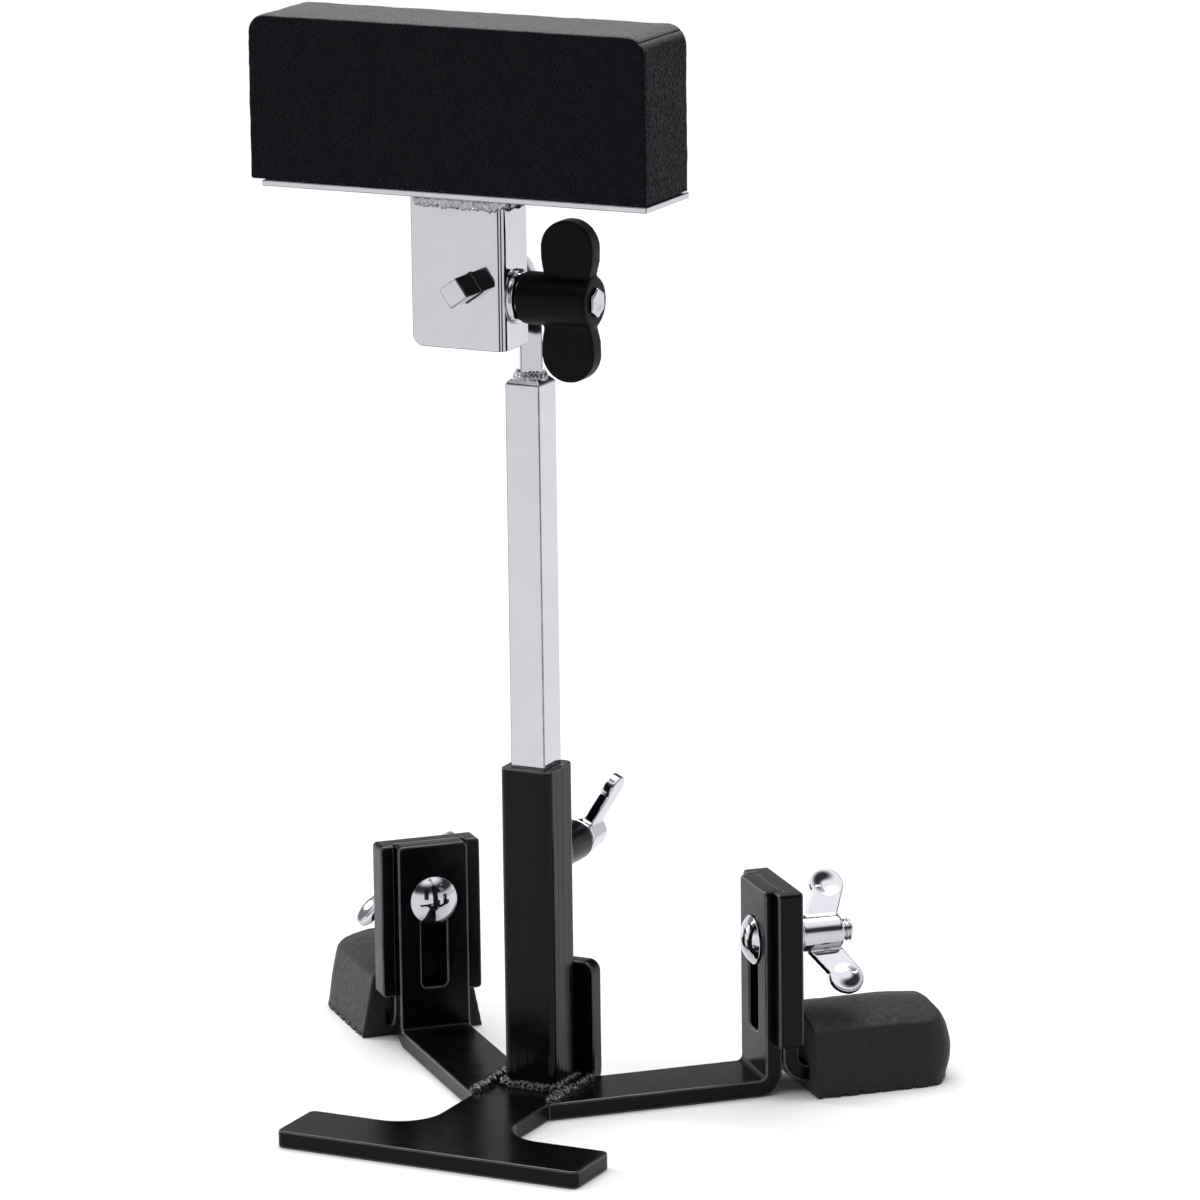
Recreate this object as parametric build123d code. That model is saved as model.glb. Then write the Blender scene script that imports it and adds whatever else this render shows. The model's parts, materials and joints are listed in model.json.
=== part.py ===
from build123d import *
import math
import os

# Kick-pedal practice pad on a folded steel stand. Millimetres, +Z up.
# The origin is on the floor under the mast's axis, the pad's striking face looks along -Y.

# Stock and clearances
FLAT_T = 6.0                 # thickness of the flat bar in the base
FLAT_W = 25.4                # width of the arms' flat bar
BAR_W = 12.7                 # square bar of the mast
ROD_W = 7.5                  # square rod that carries the head
RUN_GAP = 0.08               # gap all round a turning or sliding fit
BODY_GAP = 0.2               # gap between faces of pieces that move past each other

# Base plate: a tongue for the pedal's hoop clamp, a stem, and a tab bent up behind the mast
TONGUE_W = 112.0
TONGUE_D = 25.0
TONGUE_FRONT_Y = -86.0
STEM_W = 29.0
STEM_FILLET_R = 15.0
PLATE_CORNER_R = 2.5
TAB_FRONT_Y = 12.0
TAB_TOP_Z = 46.0
TAB_CORNER_R = 4.0
BEND_R = 2.0                 # inside radius of every bend in the flat bar

# Mast: a square tube with a welded threaded boss, a bar that slides in it, a wing screw
TUBE_W = 19.0
TUBE_CORNER_R = 3.0
TUBE_TOP_Z = 117.5
BAR_BOTTOM_Z = 22.0
BAR_TOP_Z = 251.0
BAR_CHAMFER = 1.6
SCREW_Z = 84.0
SCREW_R = 4.0
BOSS_R = 7.0
BOSS_END_Y = 29.0
SCREW_HUB_R = 6.0
SCREW_HUB_LENGTH = 14.0

# Arms: flat bar running out from the stem and bent up, with a slot for the foot's bolt
ARM_ANGLE = 44.5             # from the X axis
ARM_ORIGIN_Y = -20.0
ARM_REACH = 86.0             # to the upright's inner face
UPRIGHT_TOP_Z = 72.4
SLOT_W = 9.2
SLOT_BOTTOM_Z = 21.0
SLOT_TOP_Z = 57.0
SLOT_CORNER_R = 2.0
BOLT_Z = 52.4

# Feet: a lipped bracket with a tongue inside a rubber boot, held by a carriage bolt
LIPPED_W = 36.5
LIP_W = 5.2
LIP_DEPTH = 3.2
LIP_CORNER_R = 1.6
LIP_BOTTOM_Z = 17.8
FOOT_PLATE_T = 5.8
FOOT_NECK_W = 26.0
FOOT_TONGUE_BOTTOM_Z = 4.0
FOOT_TONGUE_LENGTH = 44.0
FOOT_BEND_R = 3.0
BOOT_SOLE_W = 44.5
BOOT_H = 27.5
BOOT_TAPER = 11.0
BOOT_GAP = 3.5               # from the bracket's plate to the boot
BOOT_LENGTH = 51.5
BOOT_OUTER_R = 12.0
BOOT_CROWN_R = 33.0
BOOT_RIM_R = 1.5
FOOT_BOLT_R = 4.0
DOME_R = 8.8
DOME_H = 4.0
WASHER_R = 9.0
WASHER_T = 1.6
NUT_BARREL_R = 6.2
NUT_BARREL_LENGTH = 18.0
NUT_COLLAR_R = 7.4
NUT_COLLAR_LENGTH = 2.6
NUT_WING_OFFSET = 10.0       # from the collar's face to the middle of a wing's root
NUT_WING_REACH = 16.8        # to the centre of a wing's round end
NUT_WING_END_R = 6.2
NUT_WING_T = 2.2
NUT_WING_FLARE = 6.5
NUT_TURN = {"left": 43.0, "right": -46.0}

# Head: plate and channel bracket, clamped on the rod by an eye bolt and a T handle
PAD_X = -5.0                 # middle of the pad
PAD_W = 145.0
PAD_D = 32.0
PAD_H = 55.0
PAD_BOTTOM_Z = 320.6
PAD_FRONT_Y = -49.1
PAD_CORNER_R = 6.5
PAD_PLATE_T = 2.0
PAD_PLATE_W = 140.5
BRACKET_LEFT_X = -21.0
BRACKET_SIDE_X = 12.6
BRACKET_D = 19.8
BRACKET_FRONT_Y = -43.5
BRACKET_BOTTOM_Z = 268.0
BRACKET_T = 2.5
BRACKET_CORNER_R = 4.0
ROD_Z = 288.8
ROD_FRONT_Y = -54.8
ROD_BEND_R = 9.0
ROD_TURN = 35.0              # of the square section about the rod's own axis
EYE_Y = -33.0
EYE_BORE_R = 5.42
EYE_R = 8.15
EYE_T = 6.0
EYE_SHANK_R = 3.0
SHANK_Z = 285.0
CUP_R = 9.2
CUP_T = 2.3
HANDLE_BOSS_R = 8.8
HANDLE_BOSS_LENGTH = 25.9
HANDLE_WING_START = 7.5
HANDLE_WING_W = 19.0
HANDLE_WING_T = 6.6
HANDLE_REACH = 27.0
INSERT_R = 5.0
INSERT_NUT_AF = 8.6
INSERT_NUT_T = 1.3

TUBE_HALF = TUBE_W / 2
STEM_HALF = STEM_W / 2
BRACKET_BACK_Y = BRACKET_FRONT_Y + BRACKET_D
CUP_END_X = BRACKET_SIDE_X + CUP_T
HANDLE_END_X = CUP_END_X + BODY_GAP + HANDLE_BOSS_LENGTH
PLATE_BOTTOM_Z = PAD_BOTTOM_Z - PAD_PLATE_T
UPRIGHT_OUTER = ARM_REACH + FLAT_T
FOOT_PLATE_INNER = UPRIGHT_OUTER + BODY_GAP
FOOT_PLATE_OUTER = FOOT_PLATE_INNER + FOOT_PLATE_T
NUT_START = FOOT_PLATE_OUTER + WASHER_T + 0.1
ARM_FRAMES = {
    "right": Pos(0, ARM_ORIGIN_Y, 0) * Rot(0, 0, ARM_ANGLE),
    "left": Pos(0, ARM_ORIGIN_Y, 0) * Rot(0, 0, 180 - ARM_ANGLE),
}


def block(x0, x1, y0, y1, z0, z1):
    """A box between two corners."""
    return Pos((x0 + x1) / 2, (y0 + y1) / 2, (z0 + z1) / 2) * Box(x1 - x0, y1 - y0, z1 - z0)


def rod_x(radius, x0, x1):
    """A round rod along +X from x0 to x1."""
    return Pos((x0 + x1) / 2, 0, 0) * Rot(0, 90, 0) * Cylinder(radius, x1 - x0)


def rod_y(radius, y0, y1):
    """A round rod along +Y from y0 to y1."""
    return Pos(0, (y0 + y1) / 2, 0) * Rot(90, 0, 0) * Cylinder(radius, y1 - y0)


def upright_edges(solid):
    return solid.edges().filter_by(Axis.Z)


def edge_near(solid, axis, point):
    """The edge along an axis that is nearest to a point."""
    return solid.edges().filter_by(axis).sort_by_distance(point)[0]


def bent_bar(foot_x, inner_x, bottom_z, thickness, bend_r, top_z, width):
    """Flat bar from foot_x to a bend at inner_x, then up to top_z, its width along Y."""
    outer_x = inner_x + math.copysign(thickness, inner_x - foot_x)
    half = width / 2
    flat = block(min(foot_x, outer_x), max(foot_x, outer_x), -half, half, bottom_z, bottom_z + thickness)
    bar = flat + block(min(inner_x, outer_x), max(inner_x, outer_x), -half, half, bottom_z, top_z)
    bar = fillet(edge_near(bar, Axis.Y, (inner_x, 0, bottom_z + thickness)), bend_r)
    return fillet(edge_near(bar, Axis.Y, (outer_x, 0, bottom_z)), bend_r + thickness)


def base_plate():
    """Tongue and stem in one flat piece, the stem's end bent up into a tab."""
    tongue_back_y = TONGUE_FRONT_Y + TONGUE_D
    tongue = block(-TONGUE_W / 2, TONGUE_W / 2, TONGUE_FRONT_Y, tongue_back_y, 0, FLAT_T)
    tongue = fillet(upright_edges(tongue), PLATE_CORNER_R)
    stem = bent_bar(tongue_back_y - 5, TAB_FRONT_Y, 0, FLAT_T, BEND_R, TAB_TOP_Z, STEM_W)
    stem = fillet(stem.edges().filter_by(Axis.X).group_by(Axis.Z)[-1], TAB_CORNER_R)
    plate = tongue + Rot(0, 0, 90) * stem
    inside = [
        edge for edge in upright_edges(plate)
        if abs(edge.center().Y - tongue_back_y) < 0.01 and abs(abs(edge.center().X) - STEM_HALF) < 0.01
    ]
    return fillet(inside, STEM_FILLET_R)


def mast_tube():
    """Square tube standing on the stem, open at the top, drilled at the boss."""
    inner = BAR_W + 2 * RUN_GAP
    with BuildSketch() as section:
        RectangleRounded(TUBE_W, TUBE_W, TUBE_CORNER_R)
        Rectangle(inner, inner, mode=Mode.SUBTRACT)
    tube = Pos(0, 0, FLAT_T) * extrude(section.sketch, TUBE_TOP_Z - FLAT_T)
    hole = Pos(0, 0, SCREW_Z) * rod_y(SCREW_R + RUN_GAP, 0, BOSS_END_Y)
    return tube - hole


def clamp_boss():
    """Threaded boss welded to the back of the tube."""
    boss = rod_y(BOSS_R, TUBE_HALF, BOSS_END_Y)
    boss = chamfer(boss.edges().group_by(Axis.Y)[-1], 0.8)
    return Pos(0, 0, SCREW_Z) * (boss - rod_y(SCREW_R + RUN_GAP, TUBE_HALF - 1, BOSS_END_Y + 1))


def boss_weld():
    """Weld bead round the boss's root."""
    ring = Torus(BOSS_R + 0.4, 1.4)
    ring = Pos(0, TUBE_HALF, 0) * Rot(90, 0, 0) * ring
    ring -= rod_y(BOSS_R, 0, BOSS_END_Y)
    ring -= block(-30, 30, 0, TUBE_HALF, -30, 30)
    return Pos(0, 0, SCREW_Z) * (ring & block(-TUBE_HALF + 3, TUBE_HALF - 3, 0, 30, -30, 30))


def wing_tab(root_along, root_width, reach, end_r, thickness, flare):
    """One wing standing along +Z: a tab that widens into a round end, leaning along +Y."""
    half = root_width / 2
    with BuildSketch(Plane.YZ) as outline:
        with BuildLine():
            Polyline(
                (root_along - half, 0),
                (root_along + half, 0),
                (root_along + flare + end_r, reach),
                (root_along + flare - end_r, reach),
                close=True,
            )
        make_face()
        with Locations((root_along + flare, reach)):
            Circle(end_r)
    return extrude(outline.sketch, thickness / 2, both=True)


def mast_wing_screw():
    """Cast wing screw along +Y with two thick ears set in a V."""
    hub_start = BOSS_END_Y + 1.0
    hub_end = hub_start + SCREW_HUB_LENGTH
    tip_y = BAR_W / 2 + 0.1
    hub = extrude(RegularPolygon(SCREW_HUB_R, 8), SCREW_HUB_LENGTH, taper=4)
    hub = Pos(0, hub_end, 0) * Rot(90, 0, 0) * hub
    ear = wing_tab(hub_start + 6.0, 10.0, 18.0, 5.2, 3.6, 6.5)
    screw = rod_y(SCREW_R, tip_y, hub_start + 2) + hub
    for turn in (26.0, -85.0):
        screw += Rot(0, turn, 0) * ear
    return Pos(0, 0, SCREW_Z) * screw


def arm_blank():
    """Arm along +X in its own frame: flat leg, bend, slotted upright."""
    bar = bent_bar(-40, ARM_REACH, 0, FLAT_T, BEND_R, UPRIGHT_TOP_Z, FLAT_W)
    top = bar.edges().filter_by(Axis.X).group_by(Axis.Z)[-1]
    bar = fillet(top, 2.0)
    slot_mid_z = (SLOT_BOTTOM_Z + SLOT_TOP_Z) / 2
    slot = RectangleRounded(SLOT_TOP_Z - SLOT_BOTTOM_Z, SLOT_W, SLOT_CORNER_R)
    cutter = extrude(slot, FLAT_T + 4, both=True)
    return bar - Pos(ARM_REACH + FLAT_T / 2, 0, slot_mid_z) * Rot(0, 90, 0) * cutter


def arm(side):
    """Arm in place, mitred against the stem's side."""
    sign = 1 if side == "right" else -1
    keep = block(STEM_HALF, 200, -100, 150, -10, 100)
    if sign < 0:
        keep = block(-200, -STEM_HALF, -100, 150, -10, 100)
    return ARM_FRAMES[side] * arm_blank() & keep


def bead_over(x0, y0, x1, y1, z, radius):
    """Half-round weld bead lying on a flat face along a straight joint."""
    length = math.hypot(x1 - x0, y1 - y0)
    turn = math.degrees(math.atan2(y1 - y0, x1 - x0))
    bead = rod_x(radius, 0, length) - block(-1, length + 1, -20, 20, -20, 0)
    return Pos(x0, y0, z) * Rot(0, 0, turn) * bead


def arm_weld(side):
    """Bead along the joint between an arm and the stem."""
    sign = 1 if side == "right" else -1
    cos_a = math.cos(math.radians(ARM_ANGLE))
    sin_a = math.sin(math.radians(ARM_ANGLE))
    near = (STEM_HALF - FLAT_W / 2 * sin_a) / cos_a
    near_y = ARM_ORIGIN_Y + near * sin_a - FLAT_W / 2 * cos_a
    bead_x = sign * STEM_HALF
    return bead_over(bead_x, near_y + 1, bead_x, TAB_FRONT_Y - BEND_R - 0.5, FLAT_T, 2.4)


def tube_weld():
    """Beads round the foot of the tube, on the stem."""
    size = 2.6
    ring = block(-TUBE_HALF - size, TUBE_HALF + size, -TUBE_HALF - size, TUBE_HALF, 0, size)
    top = ring.edges().group_by(Axis.Z)[-1]
    ring = chamfer(top.filter_by(lambda e: e.center().Y < TUBE_HALF - 0.1), 1.6)
    ring -= block(-TUBE_HALF, TUBE_HALF, -TUBE_HALF, 20, -1, 10)
    ring -= Pos(-STEM_HALF, 0, 0) * Rot(90, 0, 0) * Cylinder(2.4, 80)
    ring -= Pos(STEM_HALF, 0, 0) * Rot(90, 0, 0) * Cylinder(2.4, 80)
    return Pos(0, 0, FLAT_T) * ring


def mast_bar():
    bar = block(-BAR_W / 2, BAR_W / 2, -BAR_W / 2, BAR_W / 2, BAR_BOTTOM_Z, BAR_TOP_Z)
    return chamfer(bar.edges().group_by(Axis.Z)[-1], BAR_CHAMFER)


def hook_rod():
    """Square rod: up from the bar, bent, then forward through the bracket."""
    with BuildLine(Plane.YZ) as path:
        FilletPolyline((0, BAR_TOP_Z), (0, ROD_Z), (ROD_FRONT_Y, ROD_Z), radius=ROD_BEND_R)
    section = Plane.XY.offset(BAR_TOP_Z) * Rot(0, 0, ROD_TURN) * Rectangle(ROD_W, ROD_W)
    return sweep(section, path=path.line)


def rod_weld():
    """Bead round the rod's foot on the bar's top."""
    ring = Pos(0, 0, BAR_TOP_Z) * Cone(5.4, 4.2, 2.6, align=(Align.CENTER, Align.CENTER, Align.MIN))
    return ring - Pos(0, 0, BAR_TOP_Z) * Rot(0, 0, ROD_TURN) * Box(ROD_W, ROD_W, 20)


def pad_plate():
    """Thin plate under the pad."""
    right_x = PAD_X + PAD_W / 2
    return block(
        right_x - PAD_PLATE_W, right_x, PAD_FRONT_Y, PAD_FRONT_Y + PAD_D, PLATE_BOTTOM_Z, PAD_BOTTOM_Z
    )


def rod_hole(y0, y1):
    """Square hole for the rod, along Y."""
    side = ROD_W + 2 * RUN_GAP
    return Pos(0, (y0 + y1) / 2, ROD_Z) * Rot(0, -ROD_TURN, 0) * Box(side, y1 - y0, side)


def channel_block():
    """The bracket's outer shape, both bends rounded."""
    channel = block(
        BRACKET_LEFT_X, BRACKET_SIDE_X, BRACKET_FRONT_Y, BRACKET_BACK_Y, BRACKET_BOTTOM_Z, PLATE_BOTTOM_Z
    )
    return fillet(upright_edges(channel).group_by(Axis.X)[-1], BRACKET_T + 0.5)


def pad_bracket():
    """Channel under the plate, open to the left, that the rod passes through."""
    channel = channel_block()
    free = channel.edges().filter_by(Axis.Y).group_by(Axis.Z)[0].group_by(Axis.X)[0]
    channel = fillet(free, BRACKET_CORNER_R)
    inside = block(
        BRACKET_LEFT_X - 10,
        BRACKET_SIDE_X - BRACKET_T,
        BRACKET_FRONT_Y + BRACKET_T,
        BRACKET_BACK_Y - BRACKET_T,
        BRACKET_BOTTOM_Z - 10,
        PLATE_BOTTOM_Z + 10,
    )
    bolt_hole = Pos(0, EYE_Y, SHANK_Z) * rod_x(EYE_SHANK_R + RUN_GAP, 0, BRACKET_SIDE_X + 5)
    return channel - inside - rod_hole(BRACKET_FRONT_Y - 5, BRACKET_BACK_Y + 5) - bolt_hole


def bracket_weld():
    """Beads between the bracket and the plate, along the front and the right side."""
    depth = 2.8
    height = 4.4
    front_y = BRACKET_FRONT_Y - depth
    side_x = BRACKET_SIDE_X + depth
    low = PLATE_BOTTOM_Z - height
    front_run = block(BRACKET_LEFT_X + 1, side_x, front_y, BRACKET_FRONT_Y + 3, low, PLATE_BOTTOM_Z)
    side_run = block(BRACKET_SIDE_X - 3, side_x, front_y, BRACKET_BACK_Y - 3, low, PLATE_BOTTOM_Z)
    return front_run + side_run - channel_block()


def practice_pad():
    """Foam block with its two upper corners rounded."""
    left_x = PAD_X - PAD_W / 2
    pad = block(
        left_x, left_x + PAD_W, PAD_FRONT_Y, PAD_FRONT_Y + PAD_D, PAD_BOTTOM_Z, PAD_BOTTOM_Z + PAD_H
    )
    pad = fillet(pad.edges().filter_by(Axis.Y).group_by(Axis.Z)[-1], PAD_CORNER_R)
    return pad


def eye_bolt():
    """Eye round the rod, its shank set low and running out through the bracket's side."""
    drop = SHANK_Z - ROD_Z
    eye = rod_y(EYE_R, -EYE_T / 2, EYE_T / 2) + Pos(0, 0, drop) * rod_x(EYE_SHANK_R, 2, HANDLE_END_X)
    return Pos(0, EYE_Y, ROD_Z) * (eye - rod_y(EYE_BORE_R, -EYE_T, EYE_T))


def eye_washer():
    """Cup washer between the bracket and the handle."""
    cup = rod_x(CUP_R, BRACKET_SIDE_X, CUP_END_X)
    cup = chamfer(cup.edges().filter_by(GeomType.CIRCLE).group_by(Axis.X)[-1], 1.0)
    return Pos(0, EYE_Y, SHANK_Z) * (cup - rod_x(EYE_SHANK_R + RUN_GAP, 0, CUP_END_X + 1))


def tee_handle():
    """Moulded T handle: a round boss on the bolt and a flat paddle across it."""
    start_x = CUP_END_X + BODY_GAP
    boss = rod_x(HANDLE_BOSS_R, start_x, HANDLE_END_X)
    boss = fillet(boss.edges().filter_by(GeomType.CIRCLE), 1.2)
    paddle_x = start_x + HANDLE_WING_START + HANDLE_WING_W / 2
    outline = SlotOverall(2 * HANDLE_REACH, HANDLE_WING_W)
    paddle = extrude(outline, HANDLE_WING_T / 2, both=True)
    paddle = fillet(paddle.edges(), 1.5)
    paddle = Pos(paddle_x, 0, 0) * Rot(90, 0, 0) * Rot(0, 0, 90) * paddle
    socket = rod_x(INSERT_R, start_x - 1, HANDLE_END_X + 1)
    return Pos(0, EYE_Y, SHANK_Z) * (boss + paddle - socket)


def tee_insert():
    """Threaded steel bush moulded into the handle, with a hexagonal end that shows."""
    start_x = CUP_END_X + BODY_GAP
    bush = rod_x(INSERT_R, start_x, HANDLE_END_X)
    hexagon = RegularPolygon(INSERT_NUT_AF / 2, 6, major_radius=False)
    bush += Pos(HANDLE_END_X, 0, 0) * Rot(0, 90, 0) * extrude(hexagon, INSERT_NUT_T)
    bore = rod_x(EYE_SHANK_R + RUN_GAP, start_x - 1, HANDLE_END_X + INSERT_NUT_T + 1)
    return Pos(0, EYE_Y, SHANK_Z) * (bush - bore)


def foot_bracket(side):
    """Lipped plate outside the upright, necked and bent into a tongue under the boot."""
    tongue_end = FOOT_PLATE_OUTER + FOOT_TONGUE_LENGTH
    neck = bent_bar(
        tongue_end,
        FOOT_PLATE_OUTER,
        FOOT_TONGUE_BOTTOM_Z,
        FOOT_PLATE_T,
        FOOT_BEND_R,
        UPRIGHT_TOP_Z - 4,
        FOOT_NECK_W,
    )
    plate = block(
        FOOT_PLATE_INNER, FOOT_PLATE_OUTER, -LIPPED_W / 2, LIPPED_W / 2, LIP_BOTTOM_Z, UPRIGHT_TOP_Z
    )
    bracket = neck + plate
    for sign in (-1, 1):
        low, high = sorted((sign * (LIPPED_W / 2 - LIP_W), sign * LIPPED_W / 2))
        bracket += block(
            FOOT_PLATE_INNER - LIP_DEPTH, FOOT_PLATE_INNER, low, high, LIP_BOTTOM_Z, UPRIGHT_TOP_Z
        )
    corners = bracket.edges().filter_by(Axis.X).filter_by(
        lambda e: abs(abs(e.center().Y) - LIPPED_W / 2) < 0.01
    )
    bracket = fillet(corners, LIP_CORNER_R)
    bracket -= Pos(0, 0, BOLT_Z) * rod_x(FOOT_BOLT_R + 0.15, ARM_REACH, FOOT_PLATE_OUTER + 1)
    return ARM_FRAMES[side] * bracket


def rubber_foot(side):
    """Tapered boot with a crowned top, moulded over the bracket's tongue."""
    inner_x = FOOT_PLATE_OUTER + BOOT_GAP
    outer_x = inner_x + BOOT_LENGTH
    with BuildSketch() as sole:
        with Locations(((inner_x + outer_x) / 2 - 5, 0)):
            Rectangle(BOOT_LENGTH + 10, BOOT_SOLE_W)
        fillet(sole.vertices().group_by(Axis.X)[-1], BOOT_OUTER_R)
    boot = extrude(sole.sketch, BOOT_H + 2, taper=BOOT_TAPER)
    boot &= Pos(0, 0, BOOT_H - BOOT_CROWN_R) * rod_x(BOOT_CROWN_R, inner_x, outer_x)
    rim = boot.edges().filter_by(lambda e: e.center().Z > BOOT_H - 8 and e.center().X > inner_x + 0.1)
    boot = fillet(rim, BOOT_RIM_R)
    gap = 0.1
    half = FOOT_NECK_W / 2 + gap
    low = FOOT_TONGUE_BOTTOM_Z - gap
    high = FOOT_TONGUE_BOTTOM_Z + FOOT_PLATE_T + gap
    boot -= block(inner_x - 1, FOOT_PLATE_OUTER + FOOT_TONGUE_LENGTH + gap, -half, half, low, high)
    return ARM_FRAMES[side] * boot


def foot_bolt(side):
    """Carriage bolt: dome inside the arm, square neck in the slot, shank outwards."""
    dome_face = ARM_REACH - 0.1
    sphere_r = (DOME_R ** 2 + DOME_H ** 2) / (2 * DOME_H)
    dome = Pos(dome_face - DOME_H + sphere_r, 0, 0) * Sphere(sphere_r)
    dome &= block(dome_face - DOME_H - 1, dome_face, -20, 20, -20, 20)
    half = FOOT_BOLT_R
    neck = block(dome_face, UPRIGHT_OUTER - 0.5, -half, half, -half, half)
    neck = chamfer(neck.edges().filter_by(Axis.X), 0.5)
    shank = rod_x(FOOT_BOLT_R, dome_face, NUT_START + NUT_BARREL_LENGTH + 3.6)
    shank = chamfer(shank.edges().group_by(Axis.X)[-1], 0.8)
    return ARM_FRAMES[side] * Pos(0, 0, BOLT_Z) * (dome + neck + shank)


def foot_washer(side):
    washer = rod_x(WASHER_R, FOOT_PLATE_OUTER, FOOT_PLATE_OUTER + WASHER_T)
    washer -= rod_x(FOOT_BOLT_R + 0.15, ARM_REACH, NUT_START)
    return ARM_FRAMES[side] * Pos(0, 0, BOLT_Z) * washer


def foot_wing_nut(side):
    """Pressed wing nut: a collar and barrel on the bolt and two thin flared wings."""
    barrel = rod_x(NUT_BARREL_R, NUT_START, NUT_START + NUT_BARREL_LENGTH)
    barrel += rod_x(NUT_COLLAR_R, NUT_START, NUT_START + NUT_COLLAR_LENGTH)
    wing = wing_tab(0, 12.5, NUT_WING_REACH, NUT_WING_END_R, NUT_WING_T, NUT_WING_FLARE)
    wing = Pos(NUT_START + NUT_WING_OFFSET, 0, 0) * Rot(0, 0, -90) * wing
    nut = barrel + wing + Rot(180, 0, 0) * wing
    nut -= rod_x(FOOT_BOLT_R + RUN_GAP, ARM_REACH, NUT_START + NUT_BARREL_LENGTH + 8)
    return ARM_FRAMES[side] * Pos(0, 0, BOLT_Z) * Rot(NUT_TURN[side], 0, 0) * nut


def nodes():
    """Every piece by its node name."""
    pieces = {
        "base_plate": base_plate(),
        "mast_tube": mast_tube(),
        "clamp_boss": clamp_boss(),
        "boss_weld": boss_weld(),
        "tube_weld": tube_weld(),
        "mast_wing_screw": mast_wing_screw(),
        "mast_bar": mast_bar(),
        "hook_rod": hook_rod(),
        "rod_weld": rod_weld(),
        "pad_plate": pad_plate(),
        "pad_bracket": pad_bracket(),
        "bracket_weld": bracket_weld(),
        "practice_pad": practice_pad(),
        "eye_bolt": eye_bolt(),
        "eye_washer": eye_washer(),
        "tee_handle": tee_handle(),
        "tee_insert": tee_insert(),
    }
    for side in ("left", "right"):
        pieces[side + "_arm"] = arm(side)
        pieces[side + "_arm_weld"] = arm_weld(side)
        pieces[side + "_foot_bracket"] = foot_bracket(side)
        pieces[side + "_rubber_foot"] = rubber_foot(side)
        pieces[side + "_foot_bolt"] = foot_bolt(side)
        pieces[side + "_foot_washer"] = foot_washer(side)
        pieces[side + "_wing_nut"] = foot_wing_nut(side)
    return pieces


os.makedirs("parts", exist_ok=True)
for name, piece in nodes().items():
    export_step(piece, f"parts/{name}.step")
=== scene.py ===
"""Looks of a kick-pedal practice pad: shaped steel, chrome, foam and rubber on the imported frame."""

import itertools
import json
import math

import bmesh
import bpy
import numpy as np
from bpy.props import FloatProperty, FloatVectorProperty, PointerProperty
from mathutils import Matrix, Vector, noise


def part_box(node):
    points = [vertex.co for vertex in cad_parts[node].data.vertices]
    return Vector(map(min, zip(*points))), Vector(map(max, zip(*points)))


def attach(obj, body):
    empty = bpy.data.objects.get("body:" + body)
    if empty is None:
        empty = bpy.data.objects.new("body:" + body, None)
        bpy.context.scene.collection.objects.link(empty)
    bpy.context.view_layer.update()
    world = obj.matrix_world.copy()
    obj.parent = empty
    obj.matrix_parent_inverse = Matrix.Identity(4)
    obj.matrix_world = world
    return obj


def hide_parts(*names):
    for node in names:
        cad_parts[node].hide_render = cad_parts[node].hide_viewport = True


bl_info = {
    "name": "Practice Pad Stand",
    "version": (1, 0, 0),
    "blender": (4, 5, 0),
    "location": "3D View > Sidebar > Practice Pad",
    "description": "Shapes and finishes for a practice pad on a folded steel stand",
    "category": "Object",
}

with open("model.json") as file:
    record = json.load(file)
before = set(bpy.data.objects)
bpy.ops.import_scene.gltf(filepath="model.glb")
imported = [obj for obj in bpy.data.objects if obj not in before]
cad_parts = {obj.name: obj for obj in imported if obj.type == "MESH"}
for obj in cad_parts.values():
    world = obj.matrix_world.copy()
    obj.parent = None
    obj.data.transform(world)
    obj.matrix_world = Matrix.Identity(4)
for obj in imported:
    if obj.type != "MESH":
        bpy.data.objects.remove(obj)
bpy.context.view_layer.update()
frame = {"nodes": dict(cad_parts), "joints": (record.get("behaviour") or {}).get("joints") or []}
MM = 0.001
SIDES = ("left", "right")
JOINTS = {j["name"]: j for j in frame["joints"]}


# ---------------------------------------------------------------- places taken from the frame


def node_points(node):
    """A frame node's vertices as an array."""
    return np.array([v.co for v in frame["nodes"][node].data.vertices])


def axis_frame(joint_name):
    """Frame of a hinge: X along its axis, Z upright, origin at its point."""
    joint = JOINTS[joint_name]
    along = Vector(joint["axis"]).normalized()
    up = Vector((0, 0, 1))
    across = up.cross(along).normalized()
    turned = Matrix((along, across, along.cross(across))).transposed().to_4x4()
    return Matrix.Translation(Vector(joint["pos_m"])) @ turned


def reach_along(node, place):
    """Lowest and highest corner of a node in another frame."""
    turned = np.array(place.inverted())
    points = node_points(node) @ turned[:3, :3].T + turned[:3, 3]
    return points.min(0), points.max(0)


def span_along(node, place):
    """A node's start and end along X and its greatest Y and Z in another frame, in millimetres."""
    low, high = reach_along(node, place)
    return low[0] / MM, high[0] / MM, high[1] / MM, high[2] / MM


def smooth_step(low, high, value):
    """0 up to low, 1 from high on, and a soft rise between them."""
    t = min(1.0, max(0.0, (value - low) / (high - low)))
    return t * t * (3 - 2 * t)


# ---------------------------------------------------------------- mesh tools


def mesh_piece(name, verts, faces, place=None):
    """A smooth-shaded object from points and faces, its faces looking outwards."""
    mesh = bpy.data.meshes.new(name)
    mesh.from_pydata([tuple(v) for v in verts], [], [tuple(f) for f in faces])
    bm = bmesh.new()
    bm.from_mesh(mesh)
    bmesh.ops.remove_doubles(bm, verts=bm.verts, dist=1e-7)
    bmesh.ops.recalc_face_normals(bm, faces=bm.faces)
    return from_bmesh(name, bm, place)


def from_bmesh(name, bm, place=None):
    """Turns a bmesh into a linked, smooth-shaded object."""
    if place is not None:
        bm.transform(place)
    for face in bm.faces:
        face.smooth = True
    mesh = bpy.data.meshes.new(name)
    bm.to_mesh(mesh)
    bm.free()
    piece = bpy.data.objects.new(name, mesh)
    bpy.context.scene.collection.objects.link(piece)
    return piece


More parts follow.
